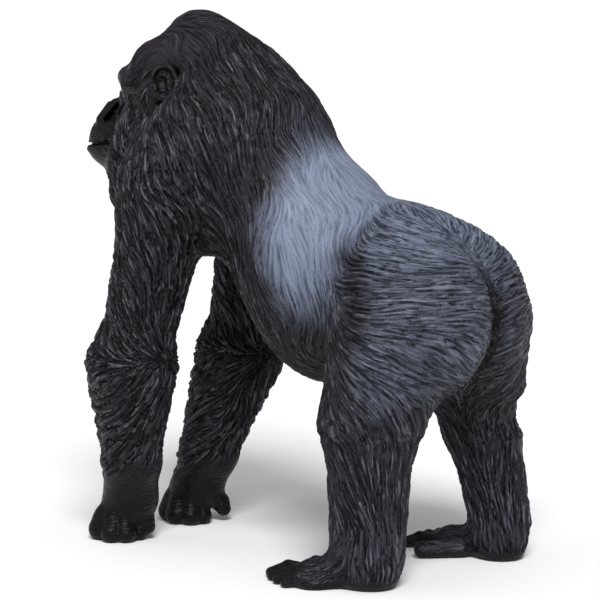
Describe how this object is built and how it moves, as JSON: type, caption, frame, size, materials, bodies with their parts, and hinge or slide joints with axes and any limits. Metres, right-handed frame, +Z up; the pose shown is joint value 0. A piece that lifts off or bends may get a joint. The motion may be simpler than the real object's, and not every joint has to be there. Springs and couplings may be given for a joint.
{
  "type": "toy gorilla figure",
  "caption": "Solid moulded toy figure of a silverback gorilla standing on its knuckles and soles, head turned to its left, with sculpted fur and a pale saddle.",
  "frame": {"origin": "on the floor, under the middle of the figure's bounding box", "axes": "+Z up, the nose towards -Y, the animal's left side towards +X"},
  "size_m": [0.0458, 0.079, 0.0898],
  "materials": {
    "body": "matte charcoal paint over moulded fur",
    "saddle": "matte silver-grey paint sprayed over the charcoal",
    "eye": "gloss dark brown paint"
  },
  "bodies": {
    "root": {"head": "body", "neck": "body", "trunk": "saddle", "rump": "saddle", "eye_left": "eye", "eye_right": "eye", "ear_left": "body", "ear_right": "body", "upper_arm_left": "body", "upper_arm_right": "body", "forearm_left": "body", "forearm_right": "body", "hand_left": "body", "hand_right": "body", "thigh_left": "body", "thigh_right": "body", "lower_leg_left": "body", "lower_leg_right": "body", "foot_left": "body", "foot_right": "body"}
  },
  "joints": []
}
